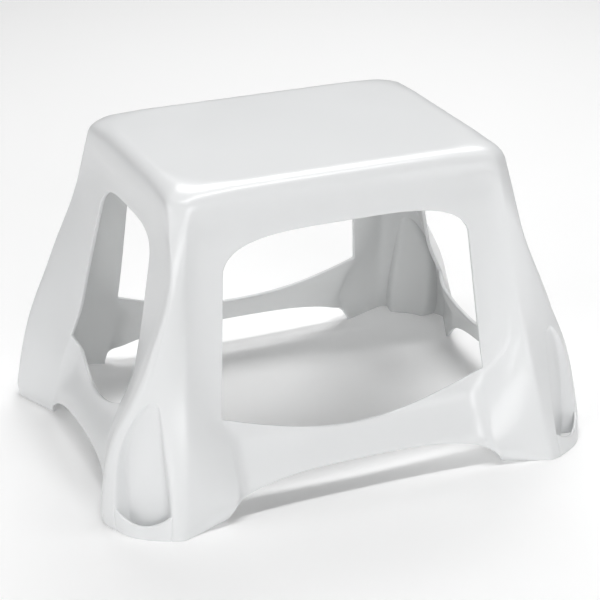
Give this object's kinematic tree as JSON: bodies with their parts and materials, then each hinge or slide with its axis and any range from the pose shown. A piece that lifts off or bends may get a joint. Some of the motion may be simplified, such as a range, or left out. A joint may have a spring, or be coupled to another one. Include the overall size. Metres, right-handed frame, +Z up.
{
  "type": "step stool",
  "caption": "Low flared step stool, a hollow thin-walled plastic shell with open windows, skirt rails and scooped feet, for standing or sitting on.",
  "frame": {"origin": "on the floor under the middle of the step", "axes": "+X along the long side, -Y the front long side, +Z up"},
  "size_m": [0.396, 0.312, 0.24],
  "materials": {
    "shell": "white polypropylene, satin to semi-gloss, with a very fine mould grain"
  },
  "bodies": {
    "root": {"step_deck": "shell", "ribs_long": "shell", "ribs_cross": "shell", "step_edge": "shell", "apron_front": "shell", "apron_rear": "shell", "apron_left": "shell", "apron_right": "shell", "leg_front_left": "shell", "leg_front_right": "shell", "leg_rear_left": "shell", "leg_rear_right": "shell", "lip_front_left": "shell", "lip_front_right": "shell", "lip_rear_left": "shell", "lip_rear_right": "shell", "rail_front": "shell", "rail_rear": "shell", "rail_left": "shell", "rail_right": "shell"}
  },
  "joints": []
}
